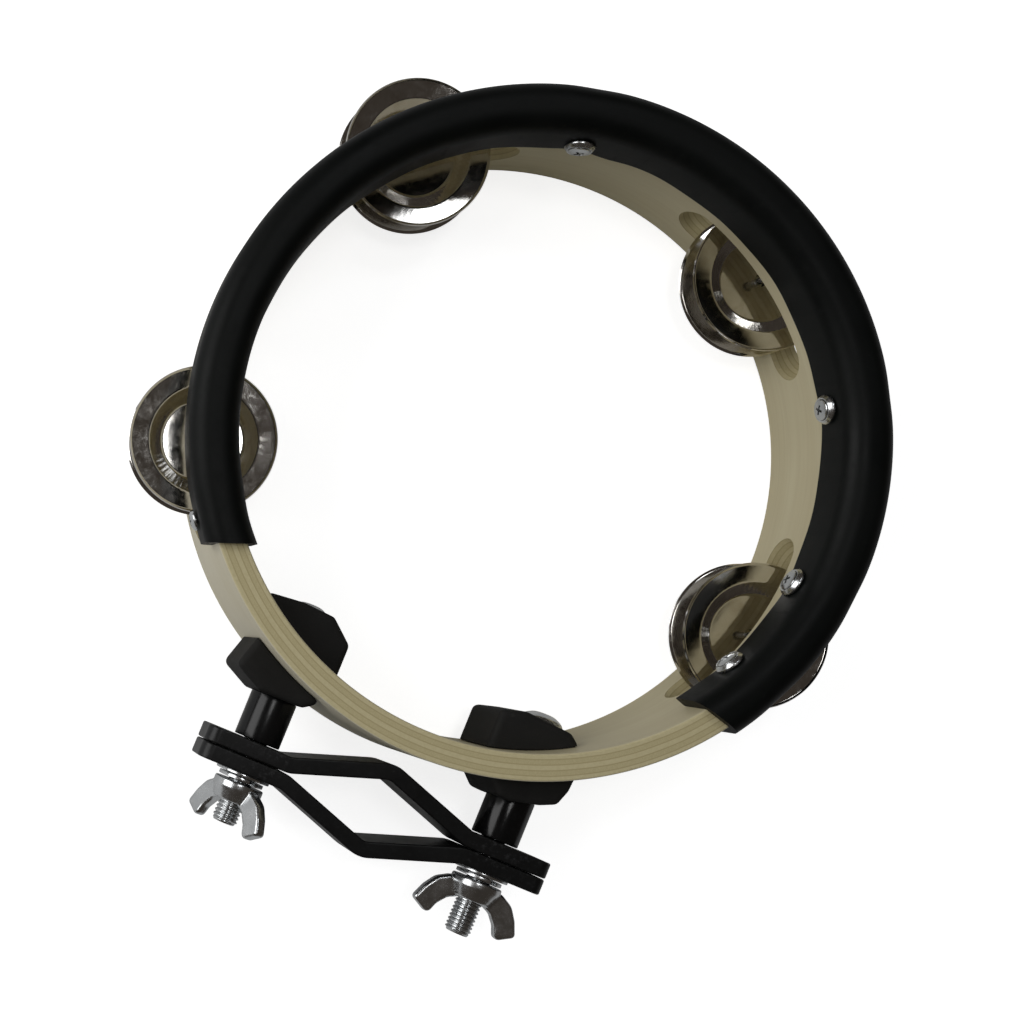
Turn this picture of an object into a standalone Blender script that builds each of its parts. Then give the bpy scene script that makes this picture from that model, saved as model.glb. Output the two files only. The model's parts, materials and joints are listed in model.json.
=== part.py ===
"""Headless 8-inch wooden tambourine with a rubber rim guard and a clamp for a stand tube.

Frame: +Z runs along the hoop's axis and the bare back rim lies in z = 0, so the guarded front rim is
on top. The origin is the middle of the back rim's edge, right behind the clamp. The clamp hangs off
the hoop towards -Y, its two bolts run along Y, its straps along X, and the stand tube that it grips
runs along Z. Everything is first laid out from the hoop's centre, with angles counted from +X
towards +Y, and the last step moves the whole to its origin.
"""

import math

import bmesh
import bpy
from mathutils import Vector

MM = 0.001
FIT = 0.3 * MM  # free gap between two pieces that touch
MERGE = 0.00001  # weld distance
THROUGH = 90 * MM  # a cutter this long goes right through whatever it cuts

# Hoop
HOOP_RADIUS = 101.6 * MM
HOOP_WALL = 8.2 * MM
HOOP_DEPTH = 48.0 * MM
HOOP_STEPS = 72
HOOP_INNER = HOOP_RADIUS - HOOP_WALL
HOOP_MIDDLE = HOOP_RADIUS - HOOP_WALL / 2

# Jingles: five places about 72 degrees apart, and the clamp takes the fifth
JINGLE_ANGLES = [math.radians(a) for a in (201.2, 130.2, 56.0, -15.0)]
SLOT_LENGTH = 63.5 * MM
SLOT_WIDTH = 14.0 * MM
SLOT_CENTRE = 17.5 * MM
SLOT_ARC_STEPS = 8
SLOT_CUT = 26.0 * MM  # radial reach of a slot's cutter
SLOT_CUT_SHIFT = 3.0 * MM  # and its shift inwards
JINGLE_RADIUS = 23.0 * MM
JINGLE_SHEET = 0.6 * MM
JINGLE_FLANGE_INNER = 17.3 * MM
JINGLE_BOWL_FLOOR = 14.4 * MM
JINGLE_RIM_RISE = 0.6 * MM
JINGLE_BOWL_DEPTH = 2.9 * MM
JINGLE_CENTRE_DEPTH = 3.5 * MM
JINGLE_HOLE = 2.0 * MM
JINGLE_STEPS = 20
JINGLE_PAIR_GAP = 1.0 * MM
PIN_CIRCLE = 97.0 * MM
PIN_RADIUS = 1.1 * MM
PIN_HOLE = 1.45 * MM
PIN_BOTTOM = 4.0 * MM
PIN_TOP = 47.5 * MM
PIN_STEPS = 12

# Rubber guard: a U-channel over the front rim
GUARD_WALL = 3.0 * MM
GUARD_DEPTH = 13.0 * MM
GUARD_EDGE = 2.4 * MM
GUARD_START = math.radians(-36.0)
GUARD_END = math.radians(221.5)
GUARD_SLANT = math.radians(3.3)
GUARD_OUTER = HOOP_RADIUS + FIT + GUARD_WALL
GUARD_INNER = HOOP_INNER - FIT - GUARD_WALL
GUARD_TOP = HOOP_DEPTH + FIT + GUARD_WALL

# Guard screws: four driven outwards from inside through cup washers, and one driven inwards from outside
INNER_SCREW_ANGLES = [math.radians(a) for a in (-26.5, 29.0, 104.0, -6.5)]
OUTER_SCREW_ANGLE = math.radians(215.6)
SCREW_HEIGHT = 39.5 * MM
SCREW_RADIUS = 1.5 * MM
SCREW_POINT = 2.0 * MM
SCREW_HOLE = 1.9 * MM
SCREW_STEPS = 12
SCREW_CUT = 12.0 * MM
SCREW_COVER = 1.5 * MM  # wood left beyond a screw's point
CUP_RADIUS = 4.6 * MM
CUP_HEIGHT = 1.6 * MM
CUP_SEAT = GUARD_INNER - 0.45 * MM
OUTER_HEAD_SEAT = GUARD_OUTER + FIT

# Clamp
BOLT_X = 40.0 * MM
BOLT_Z = 24.0 * MM
BOLT_RADIUS = 4.0 * MM
BOLT_HOLE = 4.5 * MM
BOLT_TIP_Y = {"left": -142.5 * MM, "right": -146.7 * MM}
BOLT_HEAD_RADIUS = 6.6 * MM
BOLT_HEAD_HEIGHT = 3.4 * MM
BOLT_WASHER_RADIUS = 7.0 * MM
BOLT_WASHER_THICK = 1.6 * MM
BOLT_STEPS = 20
BOLT_CUT = 40.0 * MM
PAD_WIDTH = 28.0 * MM
PAD_ROUNDING = 1.6 * MM
PAD_Y = -math.sqrt(HOOP_MIDDLE**2 - BOLT_X**2)
INNER_SEAT_Y = {"left": -75.5 * MM, "right": -79.0 * MM}
OUTER_SEAT_Y = -100.6 * MM
INNER_SEAT_RADIUS = 7.5 * MM
OUTER_SEAT_RADIUS = 7.85 * MM
SEAT_CUT = 20.0 * MM
TUBE_RADIUS = 7.25 * MM
STRAP_THICK = 5.0 * MM
STRAP_WIDTH = 20.0 * MM
STRAP_HALF_LENGTH = 56.5 * MM
STRAP_BEND_X = 29.5 * MM
STRAP_APEX = 10.05 * MM
STRAP_BEND_RADIUS = 7.0 * MM
STRAP_CORNER = 4.0 * MM
STRAP_SPLIT_Y = -120.8 * MM
WASHER_RADIUS = 8.5 * MM
WASHER_THICK = 1.0 * MM
SPRING_RADIUS = 7.2 * MM
SPRING_THICK = 1.4 * MM
WING_HUB_BASE = 8.0 * MM
WING_HUB_TOP = 6.3 * MM
WING_HUB_HEIGHT = 6.6 * MM
WING_THICK = 3.2 * MM
WING_TURNS = {"left": math.radians(-58.0), "right": 0.0}

# Pad outlines in millimetres: x from the bolt's axis, y from the hoop's centre. No two are alike,
# because each is squeezed to its own place on the wall. The wall's curve trims them later.
PAD_OUTLINES = {
    "inner_pad_left": [
        (-16.5, -95.0),
        (12.6, -95.0),
        (12.6, -78.3),
        (5.2, -72.0),
        (-5.0, -71.4),
        (-16.5, -72.6),
    ],
    "inner_pad_right": [
        (-17.7, -98.0),
        (8.3, -98.0),
        (8.3, -79.6),
        (5.0, -77.0),
        (-9.9, -76.0),
        (-17.7, -78.2),
    ],
    "outer_pad_left": [
        (10.0, -84.0),
        (-13.2, -84.0),
        (-16.9, -96.2),
        (-7.5, -101.0),
        (6.5, -101.0),
        (10.0, -98.6),
    ],
    "outer_pad_right": [
        (11.4, -84.0),
        (-13.2, -84.0),
        (-13.2, -98.8),
        (-9.0, -102.8),
        (-5.0, -103.0),
        (4.1, -100.8),
        (9.0, -98.6),
        (10.8, -93.5),
    ],
}

SIDES = {"left": -1.0, "right": 1.0}
JAW_FACE_Y = STRAP_SPLIT_Y - STRAP_THICK
WASHER_Y = JAW_FACE_Y - FIT
SPRING_Y = WASHER_Y - WASHER_THICK - FIT
WING_Y = SPRING_Y - SPRING_THICK - FIT


def clear_scene():
    for item in list(bpy.data.objects):
        bpy.data.objects.remove(item, do_unlink=True)


def make_collection(name):
    found = bpy.data.collections.new(name)
    bpy.context.scene.collection.children.link(found)
    return found


def make_material(name, color, roughness, metallic=0.0):
    made = bpy.data.materials.new(name)
    made.use_nodes = True
    surface = made.node_tree.nodes["Principled BSDF"]
    surface.inputs["Base Color"].default_value = (*color, 1.0)
    surface.inputs["Roughness"].default_value = roughness
    surface.inputs["Metallic"].default_value = metallic
    return made


clear_scene()
PARTS = make_collection("tambourine")
CUTTERS = make_collection("cutters")
WOOD = make_material("plywood", (0.62, 0.52, 0.36), 0.55)
GUARD_RUBBER = make_material("guard_rubber", (0.015, 0.016, 0.017), 0.5)
PAD_RUBBER = make_material("pad_rubber", (0.04, 0.04, 0.04), 0.75)
BLACK_PAINT = make_material("black_paint", (0.012, 0.012, 0.013), 0.35)
NICKEL = make_material("nickel", (0.62, 0.6, 0.56), 0.15, 1.0)
ZINC = make_material("zinc", (0.66, 0.67, 0.68), 0.28, 1.0)


# ---------------------------------------------------------------- shared shapes


def add_part(name, mesh, material, smooth_angle=35.0):
    """Puts a mesh in the parts collection as one named, smooth-shaded object."""
    piece = bpy.data.objects.new(name, mesh)
    PARTS.objects.link(piece)
    mesh.materials.append(material)
    mesh.shade_smooth()
    mesh.set_sharp_from_angle(angle=math.radians(smooth_angle))
    return piece


def add_cutter(name, mesh):
    cutter = bpy.data.objects.new(name, mesh)
    CUTTERS.objects.link(cutter)
    cutter.hide_render = True
    cutter.display_type = "WIRE"
    return cutter


def mesh_from_object(source, name):
    """The evaluated mesh of a curve or a modified object, welded; the source is removed."""
    graph = bpy.context.evaluated_depsgraph_get()
    graph.update()
    mesh = bpy.data.meshes.new_from_object(source.evaluated_get(graph))
    mesh.name = name
    bpy.data.objects.remove(source, do_unlink=True)
    work = bmesh.new()
    work.from_mesh(mesh)
    bmesh.ops.remove_doubles(work, verts=work.verts, dist=MERGE)
    bmesh.ops.recalc_face_normals(work, faces=work.faces)
    work.to_mesh(mesh)
    work.free()
    mesh.materials.clear()
    return mesh


def lathe_mesh(name, profile, steps, closed=True):
    """Turns a profile of (radius, height) points, running down its outer side, about Z."""
    mesh = bpy.data.meshes.new(name + "_profile")
    count = len(profile)
    edges = [(i, i + 1) for i in range(count - 1)]
    if closed:
        edges.append((count - 1, 0))
    mesh.from_pydata([(radius, 0.0, height) for radius, height in profile], edges, [])
    source = bpy.data.objects.new(name + "_lathe", mesh)
    bpy.context.scene.collection.objects.link(source)
    screw = source.modifiers.new("Screw", "SCREW")
    screw.axis = "Z"
    screw.angle = math.tau
    screw.steps = steps
    screw.render_steps = steps
    screw.use_merge_vertices = True
    screw.merge_threshold = MERGE
    return mesh_from_object(source, name)


def ring_profile(outer, inner, low, high):
    return [(outer, high), (outer, low), (inner, low), (inner, high)]


def prism_mesh(name, outline, thickness):
    """A flat outline in XY, filled and given its thickness evenly about z = 0."""
    curve = bpy.data.curves.new(name + "_outline", "CURVE")
    curve.dimensions = "2D"
    curve.fill_mode = "BOTH"
    curve.extrude = thickness / 2
    spline = curve.splines.new("POLY")
    spline.points.add(len(outline) - 1)
    for point, (x, y) in zip(spline.points, outline):
        point.co = (x, y, 0.0, 1.0)
    spline.use_cyclic_u = True
    source = bpy.data.objects.new(name + "_source", curve)
    bpy.context.scene.collection.objects.link(source)
    return mesh_from_object(source, name)


def cylinder_mesh(name, radius, length, steps):
    """A solid cylinder along Z, centred on its own origin."""
    mesh = bpy.data.meshes.new(name)
    work = bmesh.new()
    bmesh.ops.create_cone(
        work, cap_ends=True, segments=steps, radius1=radius, radius2=radius, depth=length
    )
    work.to_mesh(mesh)
    work.free()
    return mesh


def aim(piece, direction, location):
    """Places a piece with its own +Z along a direction."""
    piece.rotation_mode = "QUATERNION"
    piece.rotation_quaternion = Vector(direction).to_track_quat("Z", "Y")
    piece.location = location


def radial(angle, radius, height=0.0):
    return Vector((radius * math.cos(angle), radius * math.sin(angle), height))


def boolean(piece, cutter, operation="DIFFERENCE"):
    step = piece.modifiers.new(cutter.name, "BOOLEAN")
    step.operation = operation
    step.solver = "EXACT"
    step.object = cutter


# ---------------------------------------------------------------- hoop


def stadium(length, width, steps):
    """A slot's outline: two straight sides and two half circles."""
    straight = (length - width) / 2
    points = []
    for end in (1, -1):
        for i in range(steps + 1):
            angle = math.pi * i / steps - end * math.pi / 2
            points.append(
                (end * straight + width / 2 * math.cos(angle), width / 2 * math.sin(angle))
            )
    return points


def build_shell():
    """The plywood hoop with its jingle slots, pin holes, screw holes and bolt holes."""
    profile = ring_profile(HOOP_RADIUS, HOOP_INNER, 0.0, HOOP_DEPTH)
    shell = add_part("wood_shell", lathe_mesh("wood_shell", profile, HOOP_STEPS), WOOD)
    slot = prism_mesh("jingle_slot", stadium(SLOT_LENGTH, SLOT_WIDTH, SLOT_ARC_STEPS), SLOT_CUT)
    pin_hole_top = HOOP_DEPTH + 2 * MM
    pin_hole_low = PIN_BOTTOM - FIT
    pin_hole = cylinder_mesh(
        "pin_hole", PIN_HOLE, pin_hole_top - pin_hole_low, PIN_STEPS
    )
    for i, angle in enumerate(JINGLE_ANGLES, 1):
        cutter = add_cutter(f"jingle_slot_{i}", slot)
        cutter.rotation_euler = (math.pi / 2, 0.0, angle + math.pi / 2)
        cutter.location = radial(angle, HOOP_MIDDLE - SLOT_CUT_SHIFT, SLOT_CENTRE)
        boolean(shell, cutter)
        drill = add_cutter(f"pin_hole_{i}", pin_hole)
        drill.location = radial(angle, PIN_CIRCLE, (pin_hole_top + pin_hole_low) / 2)
        boolean(shell, drill)
    drill_screw_holes(shell, "screw_hole")
    bolt_hole = cylinder_mesh("bolt_hole", BOLT_HOLE, BOLT_CUT, BOLT_STEPS)
    for side, sign in SIDES.items():
        drill = add_cutter(f"bolt_hole_{side}", bolt_hole)
        aim(drill, (0, -1, 0), (sign * BOLT_X, PAD_Y, BOLT_Z))
        boolean(shell, drill)
    return shell


def drill_screw_holes(body, name):
    """Blind holes for the guard screws, each from the side that its screw is driven from."""
    hole = cylinder_mesh(name, SCREW_HOLE, SCREW_CUT, SCREW_STEPS)
    depth = SCREW_CUT / 2 + SCREW_COVER - FIT
    places = [(angle, HOOP_RADIUS - depth) for angle in INNER_SCREW_ANGLES]
    places.append((OUTER_SCREW_ANGLE, HOOP_INNER + depth))
    for i, (angle, radius) in enumerate(places, 1):
        drill = add_cutter(f"{name}_{i}", hole)
        aim(drill, radial(angle, 1.0), radial(angle, radius, SCREW_HEIGHT))
        boolean(body, drill)


# ---------------------------------------------------------------- rubber guard


def build_guard():
    """The rubber channel over the front rim, open where the clamp is."""
    low = HOOP_DEPTH - GUARD_DEPTH
    edge = GUARD_EDGE
    half_edge = edge * (1 - math.sqrt(0.5))
    profile = [
        (GUARD_OUTER - half_edge, GUARD_TOP - half_edge),
        (GUARD_OUTER, GUARD_TOP - edge),
        (GUARD_OUTER, low),
        (HOOP_RADIUS + FIT, low),
        (HOOP_RADIUS + FIT, HOOP_DEPTH + FIT),
        (HOOP_INNER - FIT, HOOP_DEPTH + FIT),
        (HOOP_INNER - FIT, low),
        (GUARD_INNER, low),
        (GUARD_INNER, GUARD_TOP - edge),
        (GUARD_INNER + half_edge, GUARD_TOP - half_edge),
        (GUARD_INNER + edge, GUARD_TOP),
        (GUARD_OUTER - edge, GUARD_TOP),
    ]
    mesh = lathe_mesh("rubber_guard", profile, HOOP_STEPS)
    guard = add_part("rubber_guard", mesh, GUARD_RUBBER)
    boolean(guard, guard_opening())
    drill_screw_holes(guard, "guard_hole")
    return guard


def guard_opening():
    """The wedge that leaves the clamp side bare. The inner lip runs on a little past the outer one."""
    inner_r = GUARD_INNER - 8 * MM
    outer_r = GUARD_OUTER + 8 * MM
    slant_rate = GUARD_SLANT / (GUARD_OUTER - GUARD_INNER)
    inner_lead = slant_rate * (HOOP_MIDDLE - inner_r)
    outer_lead = slant_rate * (outer_r - HOOP_MIDDLE)
    start = GUARD_START + math.tau
    corners = [
        radial(GUARD_END + inner_lead, inner_r),
        radial(GUARD_END - outer_lead, outer_r),
        radial((GUARD_END + start) / 2, 2 * outer_r),
        radial(start + outer_lead, outer_r),
        radial(start - inner_lead, inner_r),
    ]
    wedge = add_cutter(
        "guard_opening", prism_mesh("guard_opening", [(c.x, c.y) for c in corners], THROUGH)
    )
    wedge.location.z = HOOP_DEPTH
    return wedge


def screw_mesh(name, head, shank):
    """A wood screw: its head's profile down to the shank's edge, and a shank that ends in a point."""
    profile = head + [(SCREW_RADIUS, SCREW_POINT - shank), (0.0, -shank)]
    return lathe_mesh(name, profile, SCREW_STEPS, closed=False)


def build_guard_fasteners():
    """Four raised-head screws in cup washers on the inner lip, and one round-head screw on the outer lip."""
    raised_head = [
        (0.0, 2.6 * MM),
        (2.0 * MM, 2.4 * MM),
        (3.2 * MM, 2.0 * MM),
        (3.2 * MM, 1.85 * MM),
        (SCREW_RADIUS, 0.2 * MM),
    ]
    round_head = [
        (0.0, 1.5 * MM),
        (2.0 * MM, 1.25 * MM),
        (3.2 * MM, 0.45 * MM),
        (3.2 * MM, 0.0),
        (SCREW_RADIUS, 0.0),
    ]
    inner_screw = screw_mesh("inner_screw", raised_head, HOOP_RADIUS - SCREW_COVER - CUP_SEAT)
    outer_screw = screw_mesh("outer_screw", round_head, OUTER_HEAD_SEAT - HOOP_INNER - SCREW_COVER)
    cup = lathe_mesh(
        "guard_cup_washer",
        [
            (3.7 * MM, CUP_HEIGHT),
            (CUP_RADIUS, 0.5 * MM),
            (CUP_RADIUS, 0.0),
            (2.0 * MM, 0.0),
            (2.0 * MM, 0.35 * MM),
            (3.3 * MM, CUP_HEIGHT),
        ],
        SCREW_STEPS,
    )
    for i, angle in enumerate(INNER_SCREW_ANGLES, 1):
        inward = -radial(angle, 1.0)
        screw = add_part(f"guard_screw_{i}", inner_screw.copy(), ZINC)
        aim(screw, inward, radial(angle, CUP_SEAT, SCREW_HEIGHT))
        ring = add_part(f"guard_cup_washer_{i}", cup.copy(), ZINC)
        aim(ring, inward, radial(angle, CUP_SEAT, SCREW_HEIGHT))
    last = add_part(f"guard_screw_{len(INNER_SCREW_ANGLES) + 1}", outer_screw, ZINC)
    outward = radial(OUTER_SCREW_ANGLE, 1.0)
    aim(last, outward, radial(OUTER_SCREW_ANGLE, OUTER_HEAD_SEAT, SCREW_HEIGHT))


# ---------------------------------------------------------------- jingles


def jingle_profile():
    """A pressed sheet disc: flange, steep bowl wall and shallow floor. The bowl opens towards +Z."""
    sheet = JINGLE_SHEET
    rim = JINGLE_RIM_RISE
    shoulder = 0.3 * MM
    hollow = [
        (JINGLE_HOLE, -JINGLE_CENTRE_DEPTH),
        (JINGLE_BOWL_FLOOR, -JINGLE_BOWL_DEPTH),
        (JINGLE_FLANGE_INNER, 0.0),
        (JINGLE_RADIUS, rim),
    ]
    back = [
        (JINGLE_RADIUS, rim - sheet),
        (JINGLE_FLANGE_INNER + shoulder, -sheet),
        (JINGLE_BOWL_FLOOR + shoulder, -JINGLE_BOWL_DEPTH - sheet),
        (JINGLE_HOLE, -JINGLE_CENTRE_DEPTH - sheet),
    ]
    return back + hollow


def build_jingles():
    """Four pins, each carrying a pair of jingles whose bowls bulge towards each other."""
    thickness = JINGLE_CENTRE_DEPTH + JINGLE_SHEET
    back_height = SLOT_CENTRE - SLOT_WIDTH / 2 + 0.4 * MM + JINGLE_RIM_RISE
    front_height = back_height + 2 * thickness + JINGLE_PAIR_GAP
    disc = lathe_mesh("jingle", jingle_profile(), JINGLE_STEPS)
    rod = cylinder_mesh("jingle_pin", PIN_RADIUS, PIN_TOP - PIN_BOTTOM, PIN_STEPS)
    for i, angle in enumerate(JINGLE_ANGLES, 1):
        pin = add_part(f"jingle_pin_{i}", rod.copy(), ZINC)
        pin.location = radial(angle, PIN_CIRCLE, (PIN_TOP + PIN_BOTTOM) / 2)
        front = add_part(f"jingle_{i}_front", disc.copy(), NICKEL)
        front.location = radial(angle, PIN_CIRCLE, front_height)
        back = add_part(f"jingle_{i}_back", disc.copy(), NICKEL)
        back.rotation_euler = (math.pi, 0.0, 0.0)
        back.location = radial(angle, PIN_CIRCLE, back_height)


# ---------------------------------------------------------------- clamp


def pad_block(name, sign):
    """A rounded rubber block with the pad's outline in the hoop's plane, trimmed to the wall later."""
    outline = [(sign * BOLT_X + x * MM, y * MM) for x, y in PAD_OUTLINES[name]]
    pad = add_part(name, prism_mesh(name, outline, PAD_WIDTH), PAD_RUBBER)
    rounding = pad.modifiers.new("rounding", "BEVEL")
    rounding.width = PAD_ROUNDING
    rounding.segments = 2
    rounding.limit_method = "ANGLE"
    pad.location.z = BOLT_Z
    return pad


def build_pads():
    """Two pads inside the wall and two outside, each fitted to the wall and bored for its bolt."""
    inside = add_cutter(
        "inside_of_wall", cylinder_mesh("inside_of_wall", HOOP_INNER - FIT, THROUGH, HOOP_STEPS)
    )
    outside = add_cutter(
        "outside_of_wall", cylinder_mesh("outside_of_wall", HOOP_RADIUS + FIT, THROUGH, HOOP_STEPS)
    )
    bore = cylinder_mesh("pad_bore", BOLT_HOLE, BOLT_CUT, BOLT_STEPS)
    inner_seat = cylinder_mesh("inner_seat", INNER_SEAT_RADIUS, SEAT_CUT, BOLT_STEPS)
    outer_seat = cylinder_mesh("outer_seat", OUTER_SEAT_RADIUS, SEAT_CUT, BOLT_STEPS)
    for side, sign in SIDES.items():
        drill = add_cutter(f"pad_bore_{side}", bore)
        aim(drill, (0, -1, 0), (sign * BOLT_X, PAD_Y, BOLT_Z))

        inner = pad_block(f"inner_pad_{side}", sign)
        seat = add_cutter(f"inner_seat_{side}", inner_seat)
        aim(seat, (0, -1, 0), (sign * BOLT_X, INNER_SEAT_Y[side] + SEAT_CUT / 2, BOLT_Z))
        boolean(inner, inside, "INTERSECT")
        boolean(inner, drill)
        boolean(inner, seat)

        outer = pad_block(f"outer_pad_{side}", sign)
        seat = add_cutter(f"outer_seat_{side}", outer_seat)
        aim(seat, (0, -1, 0), (sign * BOLT_X, OUTER_SEAT_Y - SEAT_CUT / 2, BOLT_Z))
        boolean(outer, outside)
        boolean(outer, drill)
        boolean(outer, seat)


def bolt_mesh(side, head_y):
    """A domed bolt whose head rests at z = 0 and whose shank runs down to its tip."""
    shank = head_y - BOLT_TIP_Y[side]
    point = 1.0 * MM
    dome = [
        (BOLT_HEAD_RADIUS * math.sin(a), BOLT_HEAD_HEIGHT * math.cos(a))
        for a in (math.radians(d) for d in (0, 30, 60, 85))
    ]
    profile = dome + [
        (BOLT_HEAD_RADIUS, 0.0),
        (BOLT_RADIUS, 0.0),
        (BOLT_RADIUS, point - shank),
        (BOLT_RADIUS - point, -shank),
        (0.0, -shank),
    ]
    return lathe_mesh("clamp_bolt", profile, BOLT_STEPS, closed=False)


def build_bolts():
    """Two domed bolts from inside the hoop, each with a washer and a spacer tube."""
    washer = lathe_mesh(
        "bolt_washer", ring_profile(BOLT_WASHER_RADIUS, BOLT_HOLE, 0.0, BOLT_WASHER_THICK), BOLT_STEPS
    )
    tube_start = OUTER_SEAT_Y - FIT
    tube_length = tube_start - (STRAP_SPLIT_Y + STRAP_THICK + FIT)
    tube = lathe_mesh(
        "spacer_tube", ring_profile(TUBE_RADIUS, BOLT_HOLE, 0.0, tube_length), BOLT_STEPS
    )
    for side, sign in SIDES.items():
        x = sign * BOLT_X
        washer_y = INNER_SEAT_Y[side] + FIT
        head_y = washer_y + BOLT_WASHER_THICK + FIT
        bolt = add_part(f"clamp_bolt_{side}", bolt_mesh(side, head_y), ZINC)
        aim(bolt, (0, 1, 0), (x, head_y, BOLT_Z))
        aim(add_part(f"bolt_washer_{side}", washer.copy(), ZINC), (0, 1, 0), (x, washer_y, BOLT_Z))
        spacer = add_part(f"spacer_tube_{side}", tube.copy(), BLACK_PAINT)
        aim(spacer, (0, -1, 0), (x, tube_start, BOLT_Z))


def rounded_path(corners, radius, steps):
    """A path through corners whose bends are arcs. Gives each point with its unit normal."""
    path = []
    for i, corner in enumerate(corners):
        if i in (0, len(corners) - 1):
            along = (corners[1] - corners[0] if i == 0 else corner - corners[i - 1]).normalized()
            path.append((corner, Vector((-along.y, along.x))))
            continue
        before = (corner - corners[i - 1]).normalized()
        after = (corners[i + 1] - corner).normalized()
        turn = math.atan2(before.x * after.y - before.y * after.x, before.dot(after))
        start = corner - before * radius * math.tan(abs(turn) / 2)
        normal = Vector((-before.y, before.x))
        bend = math.copysign(1.0, turn)
        centre = start + normal * radius * bend
        for k in range(steps + 1):
            angle = turn * k / steps
            spun = Vector(
                (
                    normal.x * math.cos(angle) - normal.y * math.sin(angle),
                    normal.x * math.sin(angle) + normal.y * math.cos(angle),
                )
            )
            path.append((centre - spun * radius * bend, spun))
    return path


def strap_outline():
    """Side view of one strap: flat ears and a V in the middle, lower ear face on y = 0."""
    half = STRAP_THICK / 2
    corners = [
        Vector((-STRAP_HALF_LENGTH, half)),
        Vector((-STRAP_BEND_X, half)),
        Vector((0.0, half + STRAP_APEX)),
        Vector((STRAP_BEND_X, half)),
        Vector((STRAP_HALF_LENGTH, half)),
    ]
    path = rounded_path(corners, STRAP_BEND_RADIUS, 4)
    upper = [point + normal * half for point, normal in path]
    lower = [point - normal * half for point, normal in path]
    return [(p.x, p.y) for p in upper + lower[::-1]]


def strap_plan(steps=4):
    """A strap's outline seen along its bolts: a rectangle with rounded corners."""
    across = STRAP_HALF_LENGTH - STRAP_CORNER
    along = STRAP_WIDTH / 2 - STRAP_CORNER
    points = []
    for k, (sx, sy) in enumerate(((1, 1), (-1, 1), (-1, -1), (1, -1))):
        for i in range(steps + 1):
            angle = math.pi / 2 * (k + i / steps)
            points.append(
                (
                    sx * across + STRAP_CORNER * math.cos(angle),
                    sy * along + STRAP_CORNER * math.sin(angle),
                )
            )
    return points


def build_straps():
    """Two identical bent straps, back to back, that close on a stand tube like a V-block."""
    for name, turn, clearance in (("inner_strap", 0.0, 0.0), ("outer_strap", math.pi, FIT)):
        strap = add_part(name, prism_mesh(name, strap_outline(), STRAP_WIDTH), BLACK_PAINT)
        strap.rotation_euler = (turn, 0.0, 0.0)
        strap.location = (0.0, STRAP_SPLIT_Y - clearance, BOLT_Z)
        plan = add_cutter(name + "_plan", prism_mesh(name + "_plan", strap_plan(), THROUGH))
        aim(plan, (0, -1, 0), (0.0, STRAP_SPLIT_Y, BOLT_Z))
        boolean(strap, plan, "INTERSECT")
        bore = cylinder_mesh(name + "_bore", BOLT_HOLE, BOLT_CUT, BOLT_STEPS)
        for side, sign in SIDES.items():
            drill = add_cutter(f"{name}_bore_{side}", bore)
            aim(drill, (0, -1, 0), (sign * BOLT_X, STRAP_SPLIT_Y, BOLT_Z))
            boolean(strap, drill)


def spring_washer_mesh():
    """A square-section ring split by a slanted saw cut."""
    profile = ring_profile(SPRING_RADIUS, BOLT_HOLE, 0.0, SPRING_THICK)
    ring = add_cutter("spring_ring", lathe_mesh("spring_ring", profile, BOLT_STEPS))
    gap = 1.0 * MM
    reach = SPRING_RADIUS + gap
    outline = [(0.0, -gap / 2), (reach, -gap / 2), (reach, gap / 2), (0.0, gap / 2)]
    saw = add_cutter("spring_saw", prism_mesh("spring_saw", outline, 8 * MM))
    saw.rotation_euler.x = math.radians(20.0)
    saw.location.z = SPRING_THICK / 2
    boolean(ring, saw)
    mesh = mesh_from_object(ring, "spring_washer")
    bpy.data.objects.remove(saw, do_unlink=True)
    return mesh


def wing_outline(sign):
    """One wing seen from the side: x out from the axis, y up from the hub's seat."""
    points = [
        (4.9, 1.2),
        (8.6, 1.6),
        (12.2, 3.4),
        (15.0, 6.6),
        (16.7, 10.6),
        (17.2, 14.0),
        (16.2, 16.0),
        (13.8, 16.7),
        (11.6, 15.6),
        (10.7, 12.4),
        (9.0, 9.0),
        (6.9, 7.0),
        (4.9, 6.2),
    ]
    outline = [(sign * x * MM, y * MM) for x, y in points]
    return outline if sign > 0 else outline[::-1]


def wing_nut_mesh():
    """A conical hub with two wings, bored to clear the bolt."""
    hub = add_cutter(
        "wing_hub",
        lathe_mesh(
            "wing_hub",
            [
                (WING_HUB_TOP, WING_HUB_HEIGHT),
                (WING_HUB_BASE, 2.5 * MM),
                (WING_HUB_BASE, 0.0),
                (BOLT_RADIUS + FIT, 0.0),
                (BOLT_RADIUS + FIT, WING_HUB_HEIGHT),
            ],
            BOLT_STEPS,
        ),
    )
    wings = []
    for sign in (1, -1):
        name = f"wing_{'a' if sign > 0 else 'b'}"
        wing = add_cutter(name, prism_mesh(name, wing_outline(sign), WING_THICK))
        wing.rotation_euler.x = math.pi / 2
        boolean(hub, wing, "UNION")
        wings.append(wing)
    mesh = mesh_from_object(hub, "wing_nut")
    for wing in wings:
        bpy.data.objects.remove(wing, do_unlink=True)
    return mesh


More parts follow.
